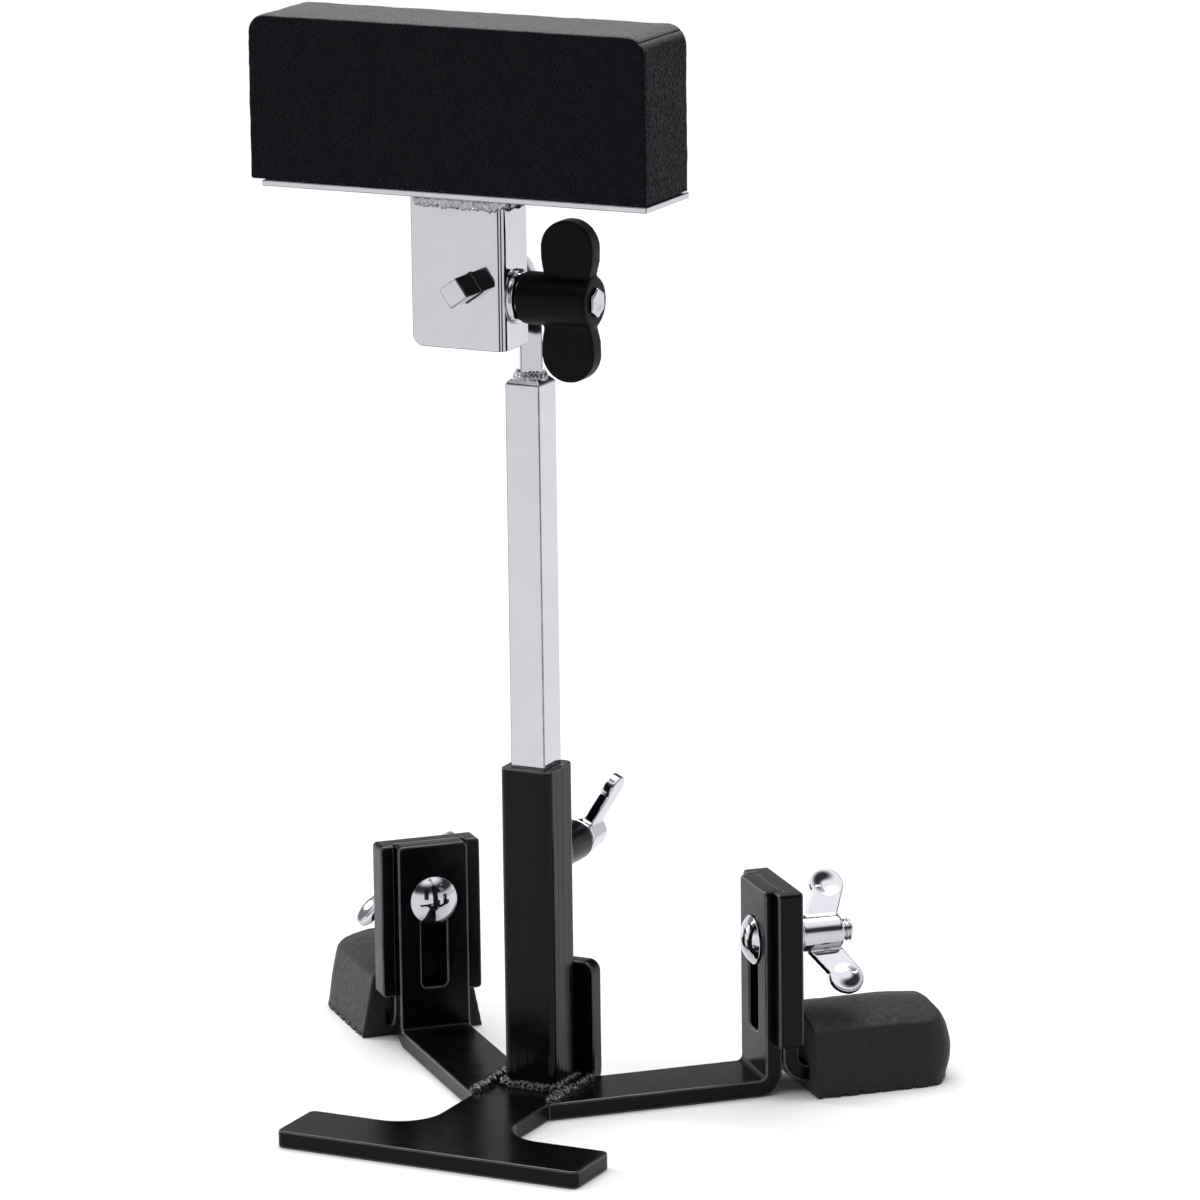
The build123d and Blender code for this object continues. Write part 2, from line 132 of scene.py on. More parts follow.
def set_in_place(piece, body, slot, node):
    """Gives a piece its finish and its body, and hides the frame node it stands for."""
    piece.data.materials.clear()
    piece.data.materials.append(finish_for(slot))
    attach(piece, body)
    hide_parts(node)


def even_normals(piece):
    """Flat faces keep flat shading beside their rounded edges."""
    modifier = piece.modifiers.new("even_normals", "WEIGHTED_NORMAL")
    modifier.weight = 60
    modifier.keep_sharp = False
    return piece


def eased_steel(node, radius, sharpest=28.0, segments=3):
    """A frame node's shape with every sharp edge rounded, as on dressed and coated steel.

    The rounded edges take the second material slot, which carries painted light: a painted highlight on the
    paint and painted dark reflection lines on the plating.
    """
    bm = bmesh.new()
    bm.from_mesh(frame["nodes"][node].data)
    bmesh.ops.remove_doubles(bm, verts=bm.verts, dist=2e-6)
    bmesh.ops.dissolve_limit(
        bm, angle_limit=math.radians(0.6), verts=bm.verts, edges=bm.edges, use_dissolve_boundaries=False
    )
    limit = math.radians(sharpest)
    sharp = [e for e in bm.edges if len(e.link_faces) == 2 and e.calc_face_angle(0) > limit]
    bmesh.ops.bevel(
        bm,
        geom=sharp,
        offset=radius * MM,
        offset_type="OFFSET",
        segments=segments,
        profile=0.5,
        affect="EDGES",
        clamp_overlap=False,
        miter_outer="ARC",
        material=1,
    )
    bmesh.ops.recalc_face_normals(bm, faces=bm.faces)
    return even_normals(from_bmesh(node + "_steel", bm))


def ring_faces(rings, segments, closed=False):
    """Faces over rings of points: capped at both ends, or closed from the last ring to the first."""
    faces = []
    for ring in range(rings if closed else rings - 1):
        a, b = ring * segments, (ring + 1) % rings * segments
        for i in range(segments):
            j = (i + 1) % segments
            faces.append((a + i, a + j, b + j, b + i))
    if not closed:
        faces.append(tuple(range(segments)))
        faces.append(tuple(range((rings - 1) * segments, rings * segments)))
    return faces


def around_x(x, radius, angle):
    """A point at a distance from the X axis, taking millimetres."""
    return x * MM, radius * math.cos(angle) * MM, radius * math.sin(angle) * MM


def lathe(profile, segments=64, hollow=False):
    """Points and faces of a shape turned about X. The profile is (x, radius) pairs in millimetres.

    A hollow one has a closed profile, which leaves a bore open.
    """
    angles = [2 * math.pi * i / segments for i in range(segments)]
    verts = [around_x(x, radius, angle) for x, radius in profile for angle in angles]
    return verts, ring_faces(len(profile), segments, closed=hollow)


def threaded_rod(start, end, radius, pitch, depth, segments=40):
    """A rod along X with a helical thread, its far end drawn in a little."""
    steps = int((end - start) / pitch * 8)
    verts = []
    for step in range(steps + 1):
        x = start + (end - start) * step / steps
        ease = min(1.0, (end - x) / (0.7 * pitch) + 0.35)
        for i in range(segments):
            turn = i / segments
            wave = abs(((x / pitch - turn) % 1.0) * 2 - 1)
            thread_r = (radius - depth * smooth_step(0.15, 0.85, wave)) * (0.82 + 0.18 * ease)
            verts.append(around_x(x, thread_r, 2 * math.pi * turn))
    return verts, ring_faces(steps + 1, segments)


def joined(*shapes):
    """Several (points, faces) shapes as one."""
    verts, faces = [], []
    for more_verts, more_faces in shapes:
        base = len(verts)
        verts.extend(more_verts)
        faces.extend(tuple(i + base for i in face) for face in more_faces)
    return verts, faces


def placed(shape, place):
    """A (points, faces) shape moved by a matrix."""
    return [tuple(place @ Vector(v)) for v in shape[0]], shape[1]


def prism(outline, low, high, place=None):
    """An outline in millimetres in the local YZ plane, run along X from low to high."""
    count = len(outline)
    verts = [(low * MM, y * MM, z * MM) for y, z in outline]
    verts += [(high * MM, y * MM, z * MM) for y, z in outline]
    faces = [tuple(range(count)), tuple(range(count, 2 * count))]
    faces += [(i, (i + 1) % count, count + (i + 1) % count, count + i) for i in range(count)]
    return placed((verts, faces), place) if place is not None else (verts, faces)


def grown_together(name, shapes, voxel, passes, place=None):
    """Closed shapes melted into one skin with soft inside corners, as in a casting or moulding."""
    source = mesh_piece(name + "_source", *joined(*shapes))
    remesh = source.modifiers.new("skin", "REMESH")
    remesh.mode = "VOXEL"
    remesh.voxel_size = voxel * MM
    remesh.use_smooth_shade = True
    soften = source.modifiers.new("soften", "SMOOTH")
    soften.factor = 0.5
    soften.iterations = passes
    graph = bpy.context.evaluated_depsgraph_get()
    mesh = bpy.data.meshes.new_from_object(source.evaluated_get(graph), depsgraph=graph)
    bpy.data.objects.remove(source)
    mesh.name = name
    if place is not None:
        mesh.transform(place)
    piece = bpy.data.objects.new(name, mesh)
    bpy.context.scene.collection.objects.link(piece)
    return piece


def weld_bead(points, normal, side_r, normal_r, pitch, seed, closed=False):
    """A rippled bead along a path in millimetres: overlapping crescents, a little uneven."""
    path = [Vector(p) for p in points]
    if closed:
        path.append(path[0])
    lengths = [0.0]
    for a, b in zip(path, path[1:]):
        lengths.append(lengths[-1] + (b - a).length)
    total = lengths[-1]
    row_gap, around, look_ahead = 0.22, 20, 0.8
    rows = max(12, int(total / row_gap))
    normal = Vector(normal)
    verts = []
    for row in range(rows + (0 if closed else 1)):
        s = total * row / rows
        centre = point_at(path, lengths, s, closed)
        before = point_at(path, lengths, s - look_ahead, closed)
        after = point_at(path, lengths, s + look_ahead, closed)
        side = (after - before).normalized().cross(normal)
        ease = 1.0
        if not closed:
            near = min(s, total - s) / (0.9 * side_r)
            ease = math.sqrt(max(0.02, 1 - max(0.0, 1 - near) ** 2))
        for i in range(around):
            angle = 2 * math.pi * i / around
            lag = 0.55 * math.cos(angle) ** 2
            ripple = (s / pitch + lag + 0.18 * noise.noise(Vector((s * 0.35, seed, 0)))) % 1.0
            uneven = noise.noise(Vector((s * 0.5, seed * 3.1, math.cos(angle))))
            swell = ease * (1.0 - 0.30 * ripple + 0.22 * uneven)
            offset = side * (side_r * swell * math.cos(angle)) + normal * (normal_r * swell * math.sin(angle))
            verts.append(tuple((centre + offset) * MM))
    return verts, ring_faces(len(verts) // around, around, closed)


def point_at(path, lengths, s, closed):
    """The point at a distance along a path."""
    total = lengths[-1]
    s = s % total if closed else min(total, max(0.0, s))
    k = min(len(path) - 2, max(i for i in range(len(lengths)) if lengths[i] <= s + 1e-9))
    return path[k].lerp(path[k + 1], (s - lengths[k]) / max(1e-9, lengths[k + 1] - lengths[k]))


def arc(centre, radius, start, end, steps):
    """Points of an arc in the XY plane, in degrees."""
    angles = [math.radians(start + (end - start) * i / steps) for i in range(steps + 1)]
    return [(centre[0] + radius * math.cos(a), centre[1] + radius * math.sin(a)) for a in angles]


def circle(radius, count):
    """Evenly spaced points round the origin of a plane."""
    turns = [2 * math.pi * i / count for i in range(count)]
    return [(radius * math.cos(a), radius * math.sin(a)) for a in turns]


def grid_stops(low, high, edge, step):
    """Grid lines along one side: close together in the rounded edge, even between."""
    close = [0.0, 0.1, 0.3, 0.6]
    middle = np.linspace(low + edge, high - edge, max(2, int((high - low) / step)))
    return [low + edge * t for t in close] + list(middle) + [high - edge * t for t in reversed(close)]


def shell_of_box(xs, ys, zs):
    """The skin of a box with the given grid lines."""
    lines = (xs, ys, zs)
    last = [len(stops) - 1 for stops in lines]
    index, verts, faces = {}, [], []

    def corner(cell):
        if cell not in index:
            index[cell] = len(verts)
            verts.append(tuple(stops[i] for stops, i in zip(lines, cell)))
        return index[cell]

    for first, second, through in ((0, 1, 2), (0, 2, 1), (1, 2, 0)):
        for i, j in itertools.product(range(last[first]), range(last[second])):
            for side in (0, last[through]):
                face = []
                for step_i, step_j in ((0, 0), (1, 0), (1, 1), (0, 1)):
                    cell = {first: i + step_i, second: j + step_j, through: side}
                    face.append(corner((cell[0], cell[1], cell[2])))
                faces.append(face)
    return verts, faces


# ---------------------------------------------------------------- finishes


class Finish:
    """Builds one node material around a Principled shader."""

    def __init__(self, name, colour, roughness, metallic=0.0, specular=0.5):
        self.material = bpy.data.materials.new(name)
        self.material.use_nodes = True
        self.tree = self.material.node_tree
        self.shader = self.tree.nodes["Principled BSDF"]
        self.shader.inputs["Base Color"].default_value = (*colour, 1)
        self.shader.inputs["Roughness"].default_value = roughness
        self.shader.inputs["Metallic"].default_value = metallic
        self.shader.inputs["Specular IOR Level"].default_value = specular
        self.place = self.tree.nodes.new("ShaderNodeTexCoord").outputs["Object"]

    def node(self, kind, **values):
        """A node with its settings, or its sockets' plain values."""
        node = self.tree.nodes.new(kind)
        for key, value in values.items():
            if hasattr(node, key):
                setattr(node, key, value)
            else:
                node.inputs[key.replace("_", " ")].default_value = value
        return node

    def link(self, start, end):
        self.tree.links.new(start, end)

    def grain(self, per_metre, detail=3.0, roughness=0.55):
        """Soft noise fixed to the piece."""
        texture = self.node("ShaderNodeTexNoise", Scale=per_metre, Detail=detail, Roughness=roughness)
        self.link(self.place, texture.inputs["Vector"])
        return texture.outputs["Fac"]

    def streaks(self, per_metre, along):
        """Noise drawn out upright."""
        texture = self.node("ShaderNodeTexNoise", Scale=per_metre, Detail=2.0)
        drawn = self.node("ShaderNodeMapping")
        drawn.inputs["Scale"].default_value = (1.0, 1.0, along)
        self.link(self.place, drawn.inputs["Vector"])
        self.link(drawn.outputs["Vector"], texture.inputs["Vector"])
        return texture.outputs["Fac"]

    def cells(self, per_metre):
        """Small round cells, as distances from their centres."""
        texture = self.node("ShaderNodeTexVoronoi", Scale=per_metre)
        self.link(self.place, texture.inputs["Vector"])
        return texture.outputs["Distance"]

    def spread(self, value, low, high, start=0.3, end=0.7):
        """Maps a 0..1 pattern onto a range of plain numbers."""
        mapped = self.node("ShaderNodeMapRange")
        mapped.inputs["From Min"].default_value = start
        mapped.inputs["From Max"].default_value = end
        mapped.inputs["To Min"].default_value = low
        mapped.inputs["To Max"].default_value = high
        self.link(value, mapped.inputs["Value"])
        return mapped.outputs["Result"]

    def tint(self, value, colour, dark, light):
        """Colour mottled by a pattern, between two shares of its own strength."""
        ramp = self.node("ShaderNodeValToRGB")
        for stop, position, share in zip(ramp.color_ramp.elements, (0.3, 0.7), (dark, light)):
            stop.position = position
            stop.color = (*scaled(colour, share), 1)
        self.link(value, ramp.inputs["Fac"])
        self.link(ramp.outputs["Color"], self.shader.inputs["Base Color"])

    def painted_top_sheen(self, value, colour, painted_sheen_colour):
        """Colour mottled by a pattern, with a paler painted sheen where the surface faces up."""
        facing = self.node("ShaderNodeSeparateXYZ")
        self.link(self.node("ShaderNodeNewGeometry").outputs["Normal"], facing.inputs[0])
        # Painted sheen: the upward-facing mask blends in the paler colour.
        sheen_blend = self.node("ShaderNodeMix", data_type="RGBA")
        self.link(self.spread(facing.outputs["Z"], 0.0, 1.0, 0.3, 0.9), sheen_blend.inputs[0])
        self.link(self.mottle(value, colour, 0.2, 2.6), sheen_blend.inputs[6])
        self.link(self.mottle(value, painted_sheen_colour, 0.45, 1.3), sheen_blend.inputs[7])
        self.link(sheen_blend.outputs[2], self.shader.inputs["Base Color"])

    def mottle(self, value, colour, dark, light):
        """Two shares of a colour, mixed by a pattern."""
        mixed = self.node("ShaderNodeMix", data_type="RGBA")
        mixed.inputs[6].default_value = (*scaled(colour, dark), 1)
        mixed.inputs[7].default_value = (*scaled(colour, light), 1)
        self.link(self.spread(value, 0.0, 1.0, 0.35, 0.65), mixed.inputs[0])
        return mixed.outputs[2]

    def rough(self, value, low, high):
        """Roughness that varies with a pattern."""
        self.link(self.spread(value, low, high), self.shader.inputs["Roughness"])

    def relief(self, *layers):
        """Bump layers of (pattern, strength, depth in millimetres), chained."""
        last = None
        for value, strength, depth in layers:
            bump = self.node("ShaderNodeBump", Strength=strength, Distance=depth * MM)
            self.link(value, bump.inputs["Height"])
            if last is not None:
                self.link(last, bump.inputs["Normal"])
            last = bump.outputs["Normal"]
        self.link(last, self.shader.inputs["Normal"])

    def sheen(self, weight, roughness):
        """Pale haze at a low angle."""
        self.shader.inputs["Sheen Weight"].default_value = weight
        self.shader.inputs["Sheen Roughness"].default_value = roughness


def scaled(colour, factor):
    """A colour made stronger or weaker."""
    return tuple(min(1.0, c * factor) for c in colour)


def gloss_paint(looks):
    """Sprayed black gloss with a faint orange-peel skin."""
    finish = Finish("black_gloss_paint", looks.paint, 0.2, specular=0.12)
    finish.tint(finish.grain(60, 2), looks.paint, 0.8, 1.3)
    finish.rough(finish.grain(240, 4), 0.17, 0.27)
    finish.relief((finish.grain(420, 2), 0.06, 0.10), (finish.grain(2600, 2), 0.06, 0.03))
    return finish.material


def tube_paint(looks):
    """The same gloss over drawn tube, whose faint long ripples show as upright streaks."""
    finish = Finish("black_gloss_paint_tube", looks.paint, 0.17, specular=0.14)
    finish.tint(finish.grain(60, 2), looks.paint, 0.8, 1.3)
    finish.rough(finish.grain(240, 4), 0.13, 0.22)
    finish.relief((finish.streaks(260, 0.03), 0.5, 0.4), (finish.grain(2600, 2), 0.05, 0.03))
    return finish.material


def painted_edge_highlight_paint(looks):
    """The paint on a rounded edge: glossier, with a paler grey colour as a painted highlight."""
    # Painted highlight: the edge colour is far paler than the flats' paint, standing in for light caught by
    # the rounded edges.
    finish = Finish("black_gloss_paint_painted_edge_highlight", looks.paint_edge, 0.14, specular=0.6)
    finish.tint(finish.grain(110, 3), looks.paint_edge, 0.45, 1.6)
    finish.rough(finish.grain(300, 3), 0.1, 0.22)
    finish.relief((finish.grain(500, 2), 0.08, 0.06),)
    return finish.material


def painted_edge_reflection_chrome(looks):
    """Plating over a rounded edge: hazier than the flats, and darker as a painted dark reflection."""
    # Painted reflection: the darker edge colour stands in for dark surroundings mirrored in the rounded
    # edges.
    finish = Finish("bright_chrome_painted_edge_reflection", looks.chrome_edge, 0.16, metallic=1.0)
    finish.tint(finish.grain(200, 3), looks.chrome_edge, 0.7, 1.3)
    finish.rough(finish.grain(300, 3), 0.1, 0.22)
    return finish.material


def painted_weld(looks):
    """The same paint, pooled over rough weld metal."""
    finish = Finish("black_painted_weld", looks.paint, 0.2, specular=0.65)
    finish.tint(finish.grain(500, 3), looks.paint, 0.7, 1.8)
    finish.rough(finish.grain(700, 4), 0.1, 0.26)
    finish.relief((finish.grain(900, 4), 0.3, 0.25), (finish.cells(700), 0.25, 0.25))
    return finish.material


def bright_chrome(looks):
    """Polished plating with faint haze and wiping marks."""
    finish = Finish("bright_chrome", looks.chrome, 0.07, metallic=1.0)
    finish.tint(finish.grain(90, 3), looks.chrome, 0.95, 1.0)
    finish.rough(finish.grain(160, 5), 0.045, 0.12)
    finish.relief((finish.grain(130, 2), 0.05, 0.10), (finish.grain(1500, 2), 0.03, 0.02))
    return finish.material


def chromed_weld(looks):
    """Plating over weld ripples, less even than the flat faces."""
    finish = Finish("chromed_weld", looks.chrome, 0.16, metallic=1.0)
    finish.tint(finish.grain(900, 3), looks.chrome, 0.3, 0.95)
    finish.rough(finish.grain(900, 4), 0.1, 0.3)
    finish.relief((finish.grain(1100, 4), 0.35, 0.25),)
    return finish.material


def pad_foam(looks):
    """Closed-cell foam: small open pores on the cut skin, a paler painted sheen on its top, and a sheen at a
    low angle.
    """
    finish = Finish("cut_black_foam", looks.foam, 0.85, specular=0.05)
    pores = finish.spread(finish.cells(1500), 0.0, 1.0, 0.1, 0.6)
    # Painted sheen: faces turned up get the paler colour, standing in for light grazing the pad's top.
    finish.painted_top_sheen(finish.grain(1900, 4, 0.75), looks.foam, looks.foam_painted_top_sheen)
    finish.rough(finish.grain(600, 3), 0.7, 0.95)
    finish.relief((pores, 0.75, 0.5), (finish.grain(420, 5, 0.7), 0.5, 0.5))
    finish.sheen(0.16, 0.25)
    return finish.material


def boot_rubber(looks):
    """Moulded rubber with a fine dull grain."""
    finish = Finish("moulded_rubber", looks.rubber, 0.5, specular=0.24)
    finish.tint(finish.grain(900, 4, 0.6), looks.rubber, 0.8, 1.25)
    finish.rough(finish.grain(500, 4), 0.5, 0.75)
    finish.relief((finish.grain(1500, 4, 0.7), 0.35, 0.25), (finish.grain(160, 2), 0.15, 0.3))
    finish.sheen(0.12, 0.4)
    return finish.material


def handle_plastic(looks):
    """Moulded plastic with a fine spark-eroded texture."""
    finish = Finish("moulded_black_plastic", looks.plastic, 0.36, specular=0.07)
    finish.tint(finish.grain(300, 3), looks.plastic, 0.75, 1.4)
    finish.rough(finish.grain(900, 4), 0.36, 0.52)
    finish.relief((finish.grain(2200, 3), 0.18, 0.08), (finish.grain(200, 2), 0.08, 0.2))
    return finish.material


FINISHES = {
    "black_paint": gloss_paint,
    "black_paint_tube": tube_paint,
    "black_paint_edge": painted_edge_highlight_paint,
    "black_weld": painted_weld,
    "chrome": bright_chrome,
    "chrome_edge": painted_edge_reflection_chrome,
    "chrome_weld": chromed_weld,
    "foam": pad_foam,
    "boot_rubber": boot_rubber,
    "handle_plastic": handle_plastic,
}
MADE_FINISHES = {}


def finish_for(slot):
    """The material of a slot, made once."""
    if slot not in MADE_FINISHES:
        MADE_FINISHES[slot] = FINISHES[slot](bpy.context.scene.pad_stand_looks)
    return MADE_FINISHES[slot]


def add_steel(node, body, slot, radius):
    """One edge-rounded steel piece in place of its frame node."""
    piece = eased_steel(node, radius)
    edges = [face.material_index for face in piece.data.polygons]
    set_in_place(piece, body, slot, node)
    # The rounded edges' slot holds painted light: a painted highlight on paint, a painted dark reflection on
    # chrome.
    piece.data.materials.append(finish_for(slot + "_edge"))
    piece.data.polygons.foreach_set("material_index", edges)
    return piece


# ---------------------------------------------------------------- sizes and colours


def length_setting(name, description, millimetres, precision=4):
    """A length that a user may change, given here in millimetres."""
    return FloatProperty(
        name=name, description=description, default=millimetres * MM, unit="LENGTH", precision=precision
    )


def angle_setting(name, description, degrees):
    """An angle that a user may change, given here in degrees."""
    return FloatProperty(name=name, description=description, default=math.radians(degrees), subtype="ANGLE")


def colour_setting(name, description, colour):
    """A colour that a user may change."""
    return FloatVectorProperty(
        name=name, description=description, default=colour, subtype="COLOR", size=3, min=0, max=1
    )


def light_setting(name, description, strength, most, unit="NONE"):
    """A light's strength that a user may change."""
    return FloatProperty(name=name, description=description, default=strength, min=0, max=most, unit=unit)


class PadStandSizes(bpy.types.PropertyGroup):
    """Sizes a user may change; the frame's own dimensions stay as they are."""

    paint_edge: length_setting("Painted edge radius", "Rounding of the painted bars' edges", 0.7)
    tube_edge: length_setting("Tube edge radius", "Rounding of the tube's cut ends", 0.45)
    chrome_edge: length_setting("Plated edge radius", "Rounding of the chromed bars' edges", 0.45)
    foam_edge: length_setting("Foam edge radius", "Rounding of the pad's cut edges", 1.0)
    foam_corner: length_setting("Foam corner radius", "Rounding of the pad's two upper corners", 6.5)
    foam_wave: length_setting("Foam unevenness", "How far the cut skin strays from flat", 0.16, 5)
    weld_pitch: length_setting("Weld ripple pitch", "Distance between ripples of a weld bead", 1.5)
    left_nut_turn: angle_setting("Left wing nut turn", "Angle of the left nut's wings from upright", 43)
    right_nut_turn: angle_setting("Right wing nut turn", "Angle of the right nut's wings from upright", -46)
    dimple_depth: length_setting("Dimple depth", "Depth of the pressed dish in a nut's wing", 1.1)
    tread_depth: length_setting("Tread depth", "Depth of the grooves under a boot", 1.2)


class PadStandLooks(bpy.types.PropertyGroup):
    """Colours of the finishes and strength of the studio light."""

    paint: colour_setting("Paint", "Black gloss paint", (0.0022, 0.0021, 0.0028))
    chrome: colour_setting("Chrome", "Bright plating", (0.55, 0.543, 0.568))
    # Colour of the painted highlight on the paint's rounded edges.
    paint_edge: colour_setting("Painted edge highlight", "Painted highlight colour of the paint's rounded edges", (0.03, 0.03, 0.032))
    # Colour of the painted dark reflection on the plating's rounded edges.
    chrome_edge: colour_setting("Painted edge reflection", "Painted dark reflection colour of the plating's rounded edges", (0.24, 0.24, 0.26))
    foam: colour_setting("Foam", "Cut foam", (0.0042, 0.004, 0.0055))
    # Colour of the painted sheen on the foam's upward faces.
    foam_painted_top_sheen: colour_setting("Foam painted top sheen", "Painted sheen on the foam's upper side", (0.17, 0.17, 0.175))
    rubber: colour_setting("Rubber", "Moulded boots", (0.0145, 0.0142, 0.0165))
    plastic: colour_setting("Plastic", "Moulded handle", (0.0016, 0.0016, 0.0022))
    floor: colour_setting("Floor", "Pale studio floor", (0.9, 0.9, 0.9))
    sky: light_setting("Surrounding light", "Strength of the light all round", 1.0, 10)
    ceiling: light_setting("Ceiling light", "Strength of the wide light straight above", 1.0, 100)
    softboxes: light_setting("Softboxes", "Power shared by the three strip lights", 11.0, 1000, "POWER")


# ---------------------------------------------------------------- pieces


class PADSTAND_OT_base(bpy.types.Operator):
    """Make the base plate, both arms and both foot brackets of coated flat bar."""

    bl_idname = "pad_stand.base"
    bl_label = "Base and Arms"

    def execute(self, context):
        edge = context.scene.pad_stand_sizes.paint_edge / MM
        add_steel("base_plate", "base", "black_paint", edge)
        for side in SIDES:
            add_steel(side + "_arm", "base", "black_paint", edge)
            add_steel(side + "_foot_bracket", side + "_foot", "black_paint", edge)
        return {"FINISHED"}


class PADSTAND_OT_mast(bpy.types.Operator):
    """Make the painted mast tube and the threaded boss on its back."""

    bl_idname = "pad_stand.mast"
    bl_label = "Mast Tube"

    def execute(self, context):
        edge = context.scene.pad_stand_sizes.tube_edge / MM
        tube = add_steel("mast_tube", "base", "black_paint", edge)
        tube.data.materials[0] = finish_for("black_paint_tube")
        add_steel("clamp_boss", "base", "black_paint", edge * 0.6)
        return {"FINISHED"}


class PADSTAND_OT_post(bpy.types.Operator):
    """Make the chromed square bar and the bent rod on it."""

    bl_idname = "pad_stand.post"
    bl_label = "Post and Rod"

    def execute(self, context):
        edge = context.scene.pad_stand_sizes.chrome_edge / MM
        add_steel("mast_bar", "post", "chrome", edge)
        add_steel("hook_rod", "post", "chrome", edge * 0.9)
        return {"FINISHED"}


class PADSTAND_OT_head(bpy.types.Operator):
    """Make the pad's plate and bracket, the eye bolt inside it and the cup washer."""

    bl_idname = "pad_stand.head"
    bl_label = "Plate and Bracket"

    def execute(self, context):
        edge = context.scene.pad_stand_sizes.chrome_edge / MM
        add_steel("pad_plate", "head", "chrome", edge * 0.8)
        add_steel("pad_bracket", "head", "chrome", edge * 0.8)
        self.eye_bolt()
        self.cup_washer()
        return {"FINISHED"}

    def eye_bolt(self):
        """A ring with eased rims on the rod, and a threaded shank that leaves it a little low."""
        place = axis_frame("tee_turn")
        start, end, _, top = span_along("eye_bolt", place)
        shank_r, ring_r, ring_half = 3.0, 8.15, 3.0
        centre_x = start + ring_r
        lift = top - ring_r
        ring_profile = [
            (-ring_half, 5.9), (-ring_half + 0.5, 5.45), (ring_half - 0.5, 5.45), (ring_half, 5.9),
            (ring_half, 7.6), (ring_half - 0.6, ring_r), (-ring_half + 0.6, ring_r), (-ring_half, 7.6),
        ]
        across = Matrix.Translation((centre_x * MM, 0, lift * MM)) @ Matrix.Rotation(math.pi / 2, 4, "Z")
        ring = placed(lathe(ring_profile, 72, hollow=True), across)
        root = lathe([(centre_x + 4.6, shank_r), (centre_x + 14, shank_r)], 40)
        thread = threaded_rod(centre_x + 13.8, end, shank_r, 1.0, 0.45)
        bolt = mesh_piece("eye_bolt_steel", *joined(ring, root, thread), place)
        set_in_place(even_normals(bolt), "head", "chrome", "eye_bolt")

    def cup_washer(self):
        """A pressed washer, dished on the handle's side."""
        place = axis_frame("tee_turn")
        start, end, rim, _ = span_along("eye_washer", place)
        profile = [
            (start, 3.1), (start, rim - 0.5), (start + 0.3, rim - 0.1), (start + 0.8, rim),
            (end - 0.9, rim - 0.25), (end - 0.3, rim - 0.9), (end, rim - 1.7), (end - 0.15, rim - 2.4),
            (end - 0.5, rim - 3.2), (end - 0.4, 4.2), (end - 0.4, 3.1),
        ]
        washer = mesh_piece("cup_washer_steel", *lathe(profile, 80, hollow=True), place)
        set_in_place(washer, "head", "chrome", "eye_washer")


class PADSTAND_OT_pad(bpy.types.Operator):
    """Make the foam block, cut square below and rounded at its two upper corners."""

    bl_idname = "pad_stand.pad"
    bl_label = "Foam Pad"

    def execute(self, context):
        sizes = context.scene.pad_stand_sizes
        low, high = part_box("practice_pad")
        edge, corner = sizes.foam_edge, sizes.foam_corner
        grid_step = 1.7 * MM
        verts, faces = shell_of_box(*(grid_stops(low[i], high[i], edge, grid_step) for i in range(3)))
        inner_low = Vector(c + edge for c in low)
        inner_high = Vector(c - edge for c in high)
        shaped = []
        for v in verts:
            point = Vector(v)
            core = Vector(min(inner_high[i], max(inner_low[i], point[i])) for i in range(3))
            out = (point - core).normalized()
            point = core + out * edge
            point = self.round_corner(point, low, high, corner)
            stray = noise.fractal(point * 130, 0.6, 2.0, 3) * sizes.foam_wave
            fine = noise.noise(point * 620) * sizes.foam_wave * 0.35
            shaped.append(point - out * (sizes.foam_wave * 1.2 + stray + fine))
        pad = mesh_piece("foam_pad", shaped, faces)
        set_in_place(pad, "head", "foam", "practice_pad")
        return {"FINISHED"}

    def round_corner(self, point, low, high, radius):
        """Bends the square upper corners into quarter rounds."""
        rise = point.z - (high.z - radius)
        for centre_x, sign in ((low.x + radius, -1), (high.x - radius, 1)):
            run = (point.x - centre_x) * sign
            if run > 0 and rise > 0:
                scale = max(run, rise) / math.hypot(run, rise)
                point = Vector((centre_x + sign * run * scale, point.y, high.z - radius + rise * scale))
        return point


